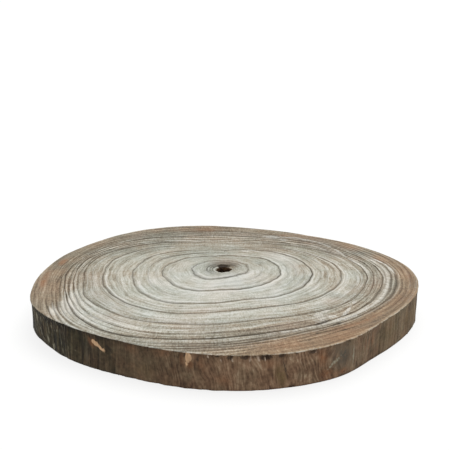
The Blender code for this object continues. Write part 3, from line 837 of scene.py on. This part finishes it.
def noise(tree, vector, scale=1.0, detail=2.0, roughness=0.5, seed=0.0, distortion=0.0):
    node = put(tree, "ShaderNodeTexNoise", noise_dimensions="4D")
    settings = {"Vector": vector, "W": seed, "Scale": scale, "Detail": detail, "Roughness": roughness}
    for name, value in {**settings, "Distortion": distortion}.items():
        feed(tree, node.inputs[name], value)
    return node.outputs[0]


def stretch(tree, value, low, high, start=0.0, end=1.0):  # from low..high to start..end, held at both ends
    node = put(tree, "ShaderNodeMapRange")
    for socket, number in zip(node.inputs, (value, low, high, start, end)):
        feed(tree, socket, number)
    return node.outputs[0]


def grain(tree, space, scale=1.0, detail=2.0, seed=0.0, low=0.3, high=0.7):  # noise that fills 0 to 1
    return stretch(tree, noise(tree, space, scale, detail, 0.6, seed), low, high)


def attributeOf(tree, name):
    if tree.bl_idname == "GeometryNodeTree":
        node = put(tree, "GeometryNodeInputNamedAttribute", data_type="FLOAT")
        node.inputs["Name"].default_value = name
        return node.outputs["Attribute"]
    return put(tree, "ShaderNodeAttribute", attribute_name=name).outputs["Fac"]


def grainSpace(tree, place):  # offset from the pith, direction from it and radius
    fromPith = vectorCalc(tree, "SUBTRACT", place, tuple(pithPlace))
    flat = scaled(tree, fromPith, 1, 1, 0)
    return fromPith, vectorCalc(tree, "NORMALIZE", flat), vectorCalc(tree, "LENGTH", flat)


def ringSpace(tree, spoke, perRing, perTurn):  # space that runs with the growth rings
    east, north, _ = split(tree, spoke)
    age = times(tree, attributeOf(tree, "age"), perRing)
    return join(tree, age, times(tree, east, perTurn), times(tree, north, perTurn))


def raySpace(tree, spoke, radius, perTurn, perMetre):  # space that runs out from the pith
    outwards = join(tree, 0.0, 0.0, times(tree, radius, perMetre))
    return vectorCalc(tree, "ADD", scaled(tree, spoke, perTurn, perTurn, 0), outwards)


def spokeShare(tree, spoke, towards):  # 1 straight in one direction, less to each side
    length = math.hypot(*towards)
    return vectorCalc(tree, "DOT_PRODUCT", spoke, (towards[0] / length, towards[1] / length, 0))


def newTree(name, inputs):
    tree = bpy.data.node_groups.new(name, "GeometryNodeTree")
    tree.interface.new_socket(name="Geometry", in_out="INPUT", socket_type="NodeSocketGeometry")
    for label, value in inputs.items():
        kind = "NodeSocketMaterial" if isinstance(value, bpy.types.Material) else "NodeSocketFloat"
        tree.interface.new_socket(name=label, in_out="INPUT", socket_type=kind)
    tree.interface.new_socket(name="Geometry", in_out="OUTPUT", socket_type="NodeSocketGeometry")
    return tree, put(tree, "NodeGroupInput").outputs


def grow(piece, tree, inputs):  # runs a tree on a piece and keeps the result as its plain mesh
    modifier = piece.modifiers.new(tree.name, "NODES")
    modifier.node_group = tree
    for socket in tree.interface.items_tree:
        if socket.in_out == "INPUT" and socket.name in inputs:
            modifier[socket.identifier] = inputs[socket.name]
    evaluated = piece.evaluated_get(bpy.context.evaluated_depsgraph_get())
    grown = bpy.data.meshes.new_from_object(evaluated)
    piece.modifiers.remove(modifier)
    piece.data = grown


# Finishes. Colours are written as they show on the finished picture, 0 to 255, and lightShare turns
# them into the wood's own colour under this light.
def shown(red, green, blue, lightShare=0.80):
    linear = [((part / 255 + 0.055) / 1.055) ** 2.4 for part in (red, green, blue)]
    return (*[min(part * lightShare, 1.0) for part in linear], 1.0)


def ramp(tree, value, stops):
    node = put(tree, "ShaderNodeValToRGB")
    elements = node.color_ramp.elements
    while len(elements) < len(stops):
        elements.new(0.5)
    for element, (position, colour) in zip(elements, stops):
        element.position = position
        element.color = colour
    feed(tree, node.inputs[0], value)
    return node.outputs[0]


def mix(tree, share, first, second):
    node = put(tree, "ShaderNodeMix", data_type="RGBA")
    for socket, value in zip((node.inputs[0], node.inputs[6], node.inputs[7]), (share, first, second)):
        feed(tree, socket, value)
    return node.outputs[2]


def newFinish(name, roughness, specular):
    material = bpy.data.materials.new(name)
    material.use_nodes = True
    tree = material.node_tree
    shader = tree.nodes["Principled BSDF"]
    shader.inputs["Roughness"].default_value = roughness
    shader.inputs["Specular IOR Level"].default_value = specular
    place = put(tree, "ShaderNodeTexCoord").outputs["Object"]
    return material, tree, shader, place


def bump(tree, height, distance, strength):
    node = put(tree, "ShaderNodeBump")
    node.inputs["Strength"].default_value = strength
    node.inputs["Distance"].default_value = distance
    feed(tree, node.inputs["Height"], height)
    return node.outputs[0]


def shadeOf(colour, share):
    return (*[part * share for part in colour[:3]], 1.0)


def addMarks(tree, colour, colours, ragged, uneven, crisp, soft):  # crisp and soft are {mark: share}
    for name, share in soft.items():
        amount = times(tree, attributeOf(tree, name), stretch(tree, ragged, 0.0, 0.7, 0.2, 1.0))
        colour = mix(tree, times(tree, amount, 1.3 * share, clamp=True), colour, colours[name])
    for name, share in crisp.items():
        amount = calc(tree, "MULTIPLY_ADD", ragged, 0.42, attributeOf(tree, name))
        amount = stretch(tree, amount, 0.62, 0.86, 0.0, share)
        shaded = mix(tree, stretch(tree, uneven, 0.2, 0.8), shadeOf(colours[name], 0.72), colours[name])
        colour = mix(tree, amount, colour, shaded)
    return colour


def total(tree, *parts):  # sum of (value, weight, middle), each value taken from its middle
    whole = 0.0
    for value, weight, middle in parts:
        share = calc(tree, "MULTIPLY_ADD", value, weight, -weight * middle)
        whole = calc(tree, "ADD", share, whole)
    return whole


toneRange = (-0.15, 1.3)


def toneRamp(tree, tone, stops):  # stops are {tone: colour}, in the tone range
    low = toneRange[0]
    span = toneRange[1] - low
    shifted = calc(tree, "MULTIPLY_ADD", tone, 1 / span, -low / span)
    return ramp(tree, shifted, [((level - low) / span, shown(*colour)) for level, colour in stops.items()])


sawnTones = {
    "grey": {-0.15: (58, 49, 37), 0.1: (100, 90, 72), 0.3: (129, 120, 101), 0.5: (152, 146, 128),
             0.7: (176, 172, 156), 0.9: (197, 197, 183), 1.1: (216, 216, 205), 1.3: (234, 234, 227)},
    "tan": {-0.15: (64, 43, 27), 0.2: (118, 92, 67), 0.4: (145, 117, 88), 0.6: (170, 141, 108),
            0.8: (194, 171, 142), 1.1: (218, 206, 187), 1.3: (234, 228, 216)},
}
sawnColours = {
    "line": shown(60, 53, 40),
    "chip": shown(236, 231, 219),
    "chill": shown(122, 128, 120),
    "chalk": shown(228, 227, 218),
    "rust": shown(170, 120, 84),
    "soil": shown(84, 74, 60),
    "blush": shown(182, 162, 148),
    "coolTint": shown(154, 168, 160),
    "warmTint": shown(212, 182, 158),
    # colour of the painted shade at the far rim of the pith hole
    "holeRimShade": shown(62, 48, 37),
    "hollow": shown(50, 36, 24),
    "hollowPale": shown(104, 76, 50),
}
sawnCrisp = {"soil": 0.8, "holeRimShade": 0.95, "chip": 0.9}
sawnSoft = {"blush": 0.55, "chalk": 0.75, "chill": 0.7, "rust": 0.75}


def sawnFinish(name, lineStrength):
    material, tree, shader, place = newFinish(name, roughness=0.88, specular=0.22)
    fromPith, spoke, radius = grainSpace(tree, place)
    streaks = grain(tree, ringSpace(tree, spoke, perRing=3.4, perTurn=2.2), detail=3.0, seed=1.0)
    fineStreaks = grain(tree, ringSpace(tree, spoke, perRing=9.5, perTurn=3.6), seed=2.0)
    hairStreaks = grain(tree, ringSpace(tree, spoke, perRing=22.0, perTurn=6.0), detail=1.0, seed=2.5)
    rays = grain(tree, raySpace(tree, spoke, radius, perTurn=55.0, perMetre=80.0), seed=3.0)
    fineRays = grain(tree, raySpace(tree, spoke, radius, perTurn=110.0, perMetre=220.0), seed=4.0)
    sawMarks = grain(tree, scaled(tree, fromPith, 560, 130, 0), seed=4.5)
    fineSawMarks = grain(tree, scaled(tree, fromPith, 900, 260, 0), detail=1.0, seed=4.8)
    blotches = grain(tree, fromPith, scale=30.0, detail=3.0, seed=5.0)
    mottle = grain(tree, fromPith, scale=170.0, detail=3.0, seed=6.0)
    speckle = grain(tree, fromPith, scale=700.0, seed=7.0)
    wash = attributeOf(tree, "wash")
    patchy = times(tree, attributeOf(tree, "band"), stretch(tree, mottle, 0.0, 1.0, 0.86, 1.06))
    texture = total(tree, (streaks, 0.28, 0.5), (fineStreaks, 0.56, 0.5), (hairStreaks, 0.62, 0.5),
                    (rays, 0.16, 0.5), (fineRays, 0.34, 0.5), (sawMarks, 0.10, 0.5),
                    (fineSawMarks, 0.30, 0.5), (mottle, 0.10, 0.5), (speckle, 0.40, 0.5))
    calmer = stretch(tree, attributeOf(tree, "age"), 1.5, 6.0, 0.50, 1.05)  # finer wood near the pith
    calmer = times(tree, calmer, stretch(tree, wash, 0.36, 0.56, 0.55, 1.05))
    # the painted highlight beside the ring lines and along the top edge lightens the tone
    tone = total(tree, (wash, 1.0, 0.0), (attributeOf(tree, "paintedHighlight"), 0.46, 0.0), (patchy, -0.40, 0.0),
                 (blotches, 0.16, 0.5), (times(tree, texture, calmer), 1.0, 0.0))
    warmPatches = grain(tree, fromPith, scale=55.0, detail=1.0, seed=8.0)
    warmer = total(tree, (warmPatches, 0.24, 0.5), (patchy, 0.25, 0.0))
    warm = calc(tree, "ADD", attributeOf(tree, "tan"), warmer, clamp=True)
    colour = mix(tree, warm, toneRamp(tree, tone, sawnTones["grey"]), toneRamp(tree, tone, sawnTones["tan"]))
    tint = grain(tree, fromPith, scale=26.0, seed=8.5, low=0.38, high=0.62)
    colour = mix(tree, 0.15, colour, mix(tree, tint, sawnColours["coolTint"], sawnColours["warmTint"]))
    teethSpace = raySpace(tree, spoke, radius, perTurn=62.0, perMetre=90.0)
    teeth = grain(tree, teethSpace, seed=9.5, low=0.38, high=0.62)
    fray = grain(tree, fromPith, scale=260.0, detail=3.0, seed=9.0)
    ragged = total(tree, (teeth, 0.5, 0.0), (fray, 0.5, 0.0))
    crest = times(tree, attributeOf(tree, "crest"), stretch(tree, ragged, 0.2, 0.75, 0.25, 1.0))
    colour = mix(tree, times(tree, crest, 0.85, clamp=True), colour, sawnColours["chip"])
    fan = calc(tree, "MULTIPLY_ADD", fineStreaks, 0.75, attributeOf(tree, "ridge"))
    colour = mix(tree, stretch(tree, fan, 0.88, 1.2, 0.0, 0.85), colour, sawnColours["chip"])
    colour = addMarks(tree, colour, sawnColours, ragged, fineSawMarks, sawnCrisp, sawnSoft)
    dark = times(tree, attributeOf(tree, "line"), stretch(tree, fineStreaks, 0.0, 0.6, 0.5, 1.0))
    colour = mix(tree, times(tree, dark, lineStrength, clamp=True), colour, sawnColours["line"])
    feed(tree, shader.inputs["Base Color"], colour)
    height = total(tree, (fineStreaks, 0.5, 0.5), (hairStreaks, 0.3, 0.5), (fineRays, 0.35, 0.5),
                   (mottle, 0.4, 0.5), (speckle, 0.4, 0.5), (dark, -0.6, 0.0))
    feed(tree, shader.inputs["Normal"], bump(tree, height, distance=0.0007, strength=0.9))
    return material


sideTones = {
    "cool": {-0.15: (14, 13, 6), 0.1: (39, 35, 20), 0.3: (68, 61, 42), 0.5: (96, 87, 66),
             0.75: (134, 123, 98), 1.1: (194, 185, 160)},
    "warm": {-0.15: (22, 14, 8), 0.1: (54, 38, 26), 0.3: (83, 61, 45), 0.5: (111, 84, 63),
             0.75: (147, 117, 91), 1.1: (200, 177, 147)},
}
sideColours = {
    "chip": shown(222, 182, 142),
    "tuft": shown(204, 182, 160),
    "frost": shown(170, 164, 142),
    "chill": shown(86, 80, 70),
    "rust": shown(142, 92, 58),
    "moss": shown(112, 94, 58),
    "soil": shown(40, 33, 25),
    # colour of the painted shade in the torn dents
    "biteAndShade": shown(54, 38, 27),
}
sideCrisp = {"soil": 0.7, "frost": 0.8, "tuft": 0.9, "chip": 1.0}
sideSoft = {"chill": 0.8, "moss": 0.8, "rust": 0.8}


def sideFinish():
    material, tree, shader, place = newFinish("barkedSide", roughness=0.86, specular=0.25)
    fromPith, spoke, radius = grainSpace(tree, place)
    x, _, z = split(tree, fromPith)
    upright = scaled(tree, fromPith, 1, 1, 0.06)
    blotches = grain(tree, scaled(tree, fromPith, 1, 1, 0.8), scale=60.0, detail=3.0, seed=3.0)
    mottle = grain(tree, fromPith, scale=330.0, detail=3.0, seed=4.0)
    swirl = noise(tree, scaled(tree, fromPith, 1, 1, 0.6), scale=40.0, detail=1.0, seed=6.0)
    leaning = calc(tree, "MULTIPLY_ADD", z, 0.14, x)
    leaning = calc(tree, "MULTIPLY_ADD", swirl, 0.022, leaning)
    waveSpace = join(tree, leaning, 0.0, times(tree, z, 0.14))
    waves = grain(tree, waveSpace, scale=520.0, detail=3.0, seed=8.0, low=0.36, high=0.64)
    atFront = stretch(tree, spokeShare(tree, spoke, (0.10, -1.0)), 0.86, 0.95)
    fibres = mix(tree, atFront, grain(tree, upright, scale=520.0, seed=1.0), waves)
    evenCords = grain(tree, fromPith, scale=120.0, seed=2.0)
    cords = mix(tree, atFront, grain(tree, upright, scale=150.0, seed=2.0), evenCords)
    tone = total(tree, (attributeOf(tree, "wash"), 1.0, 0.0), (cords, 0.22, 0.5), (blotches, 0.20, 0.5),
                 (mottle, 0.20, 0.5))
    tone = calc(tree, "MULTIPLY_ADD", calc(tree, "SUBTRACT", fibres, 0.5), attributeOf(tree, "grain"), tone)
    warmer = calc(tree, "MULTIPLY_ADD", grain(tree, fromPith, scale=70.0, detail=3.0, seed=5.0), 0.6, -0.3)
    warm = calc(tree, "ADD", attributeOf(tree, "tan"), warmer, clamp=True)
    colour = mix(tree, warm, toneRamp(tree, tone, sideTones["cool"]), toneRamp(tree, tone, sideTones["warm"]))
    colour = addMarks(tree, colour, sideColours, mottle, fibres, sideCrisp, sideSoft)
    glintSpace = scaled(tree, fromPith, 1, 1, 0.12)
    glints = grain(tree, glintSpace, scale=850.0, detail=1.0, seed=9.0, low=0.60, high=0.72)
    glints = times(tree, glints, stretch(tree, attributeOf(tree, "grain"), 0.42, 0.60, 0.0, 0.75))
    colour = mix(tree, glints, colour, sideColours["frost"])
    # painted shade in the torn dents, darker where they are deeper
    colour = mix(tree, attributeOf(tree, "tornDepthAndShade"), colour, sideColours["biteAndShade"])
    inside = stretch(tree, noise(tree, fromPith, scale=300.0, roughness=0.6, seed=7.0), 0.35, 0.65)
    hollow = mix(tree, inside, sawnColours["hollow"], sawnColours["hollowPale"])
    inHole = stretch(tree, radius, 0.012, 0.009)
    feed(tree, shader.inputs["Base Color"], mix(tree, inHole, colour, hollow))
    height = total(tree, (fibres, 0.7, 0.5), (cords, 0.4, 0.5), (mottle, 0.5, 0.5))
    feed(tree, shader.inputs["Normal"], bump(tree, height, distance=0.0009, strength=0.9))
    return material


sawnWood = sawnFinish("sawnFace", 0.95)
underWood = sawnFinish("sawnUnderside", 0.55)
sideWood = sideFinish()
print("finishes made")

relief = {
    "Line depth": 0.0006,
    "Streak depth": 0.00035,
    "Ray depth": 0.00012,
    "Rib depth": 0.0011,
    "Fibre depth": 0.0004,
    "Bite depth": 0.001,  # for each mm that a bite is deep
    "Seed": 4.0,
    "Sawn face": sawnWood,
    "Side": sideWood,
    "Underside": underWood,
}


def reliefTree():
    tree, inputs = newTree("growRelief", relief)
    seed = inputs["Seed"]
    place = put(tree, "GeometryNodeInputPosition").outputs[0]
    fromPith, spoke, radius = grainSpace(tree, place)
    face = attributeOf(tree, "face")
    streakSpace = ringSpace(tree, spoke, perRing=9.0, perTurn=2.4)
    streaks = grain(tree, streakSpace, scale=1.6, detail=3.0, seed=seed, low=0.25, high=0.75)
    rays = noise(tree, raySpace(tree, spoke, radius, perTurn=40, perMetre=90.0), seed=seed)
    deep = times(tree, attributeOf(tree, "line"), inputs["Line depth"])
    deep = calc(tree, "MULTIPLY_ADD", streaks, inputs["Streak depth"], deep)
    deep = calc(tree, "MULTIPLY_ADD", rays, inputs["Ray depth"], deep)
    sink = join(tree, 0.0, 0.0, times(tree, times(tree, deep, -1.0), face))
    stretched = scaled(tree, fromPith, 1, 1, 0.08)
    ribs = stretch(tree, noise(tree, stretched, scale=110.0, seed=seed, distortion=0.3), 0.3, 0.7)
    fibres = grain(tree, stretched, scale=380.0, seed=seed)
    dent = times(tree, ribs, inputs["Rib depth"])
    dent = calc(tree, "MULTIPLY_ADD", fibres, inputs["Fibre depth"], dent)
    dent = times(tree, dent, attributeOf(tree, "edge"))
    chipped = noise(tree, scaled(tree, fromPith, 1, 1, 0.7), scale=420.0, seed=seed)
    tornDepthAndShade = times(tree, attributeOf(tree, "biteAndShade"), stretch(tree, chipped, 0.42, 0.56))
    dent = calc(tree, "MULTIPLY_ADD", tornDepthAndShade, inputs["Bite depth"], dent)
    pressIn = put(tree, "ShaderNodeVectorMath", operation="SCALE")
    feed(tree, pressIn.inputs[0], spoke)
    feed(tree, pressIn.inputs["Scale"], times(tree, dent, -1.0))
    move = put(tree, "GeometryNodeSetPosition")
    feed(tree, move.inputs["Geometry"], inputs["Geometry"])
    feed(tree, move.inputs["Offset"], vectorCalc(tree, "ADD", sink, pressIn.outputs[0]))
    # keeps how deep the bites are torn, for the painted shade in them
    keep = put(tree, "GeometryNodeStoreNamedAttribute", data_type="FLOAT", domain="POINT")
    keep.inputs["Name"].default_value = "tornDepthAndShade"
    feed(tree, keep.inputs["Geometry"], move.outputs[0])
    feed(tree, keep.inputs["Value"], stretch(tree, tornDepthAndShade, 0.35, 1.1))
    smooth = put(tree, "GeometryNodeSetShadeSmooth")
    feed(tree, smooth.inputs["Geometry"], keep.outputs[0])
    real = put(tree, "GeometryNodeRealizeInstances")
    feed(tree, real.inputs[0], smooth.outputs[0])
    onFace = calc(tree, "GREATER_THAN", face, 0.3)
    below = calc(tree, "LESS_THAN", face, -0.3)
    geometry = real.outputs[0]
    for label, chosen in (("Side", None), ("Sawn face", onFace), ("Underside", below)):
        coat = put(tree, "GeometryNodeSetMaterial")
        feed(tree, coat.inputs["Geometry"], geometry)
        feed(tree, coat.inputs["Material"], inputs[label])
        if chosen:
            feed(tree, coat.inputs["Selection"], chosen)
        geometry = coat.outputs[0]
    feed(tree, put(tree, "NodeGroupOutput").inputs[0], geometry)
    return tree


grow(woodSlice, reliefTree(), relief)
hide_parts("wood_slice")
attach(woodSlice, "root")
print("relief laid,", len(woodSlice.data.polygons), "faces")

studio = {
    "floorHalf": 9.0,
    "floorColour": (0.17, 0.17, 0.167, 1.0),
    "floorGlow": 0.815,
    "sky": 0.62,
    "sun": 2.2,
    "sunSpread": 50.0,
    "sunTilt": (-24.0, 14.0),
    "cameraBack": 0.8927,  # in front of the pith
    "cameraUp": 0.3249,  # above the sawn face
    "pitch": 17.572,
    "yaw": 0.056,
    "lens": 80.13,
    "sensor": 36.0,
}


def buildStudio():
    half = studio["floorHalf"]
    corners = [(-half, -half, 0), (half, -half, 0), (half, half, 0), (-half, half, 0)]
    floorMesh = bpy.data.meshes.new("floor")
    floorMesh.from_pydata(corners, [], [(0, 1, 2, 3)])
    floor = newObject("floor", floorMesh)
    material, _, shader, _ = newFinish("paleFloor", roughness=0.9, specular=0.1)
    shader.inputs["Base Color"].default_value = studio["floorColour"]
    shader.inputs["Emission Color"].default_value = (1, 1, 1, 1)
    shader.inputs["Emission Strength"].default_value = studio["floorGlow"]
    floorMesh.materials.append(material)
    world = bpy.data.worlds.new("softRoom")
    bpy.context.scene.world = world
    world.use_nodes = True
    background = world.node_tree.nodes["Background"]
    background.inputs["Color"].default_value = (1, 1, 1, 1)
    background.inputs["Strength"].default_value = studio["sky"]
    sun = bpy.data.lights.new("softSun", "SUN")
    sun.energy = studio["sun"]
    sun.angle = math.radians(studio["sunSpread"])
    tiltX, tiltY = studio["sunTilt"]
    newObject("softSun", sun).rotation_euler = (math.radians(tiltX), math.radians(tiltY), 0)
    camera = bpy.data.cameras.new("camera")
    camera.sensor_width = studio["sensor"]
    camera.lens = studio["lens"]
    cameraObject = newObject("camera", camera)
    east, north, _ = pithPlace
    cameraObject.location = (east, north - studio["cameraBack"], slab["thickness"] + studio["cameraUp"])
    cameraObject.rotation_euler = (math.radians(90 - studio["pitch"]), 0, math.radians(-studio["yaw"]))
    bpy.context.scene.camera = cameraObject
    bpy.context.scene.view_settings.view_transform = "Standard"


buildStudio()
print("studio built")
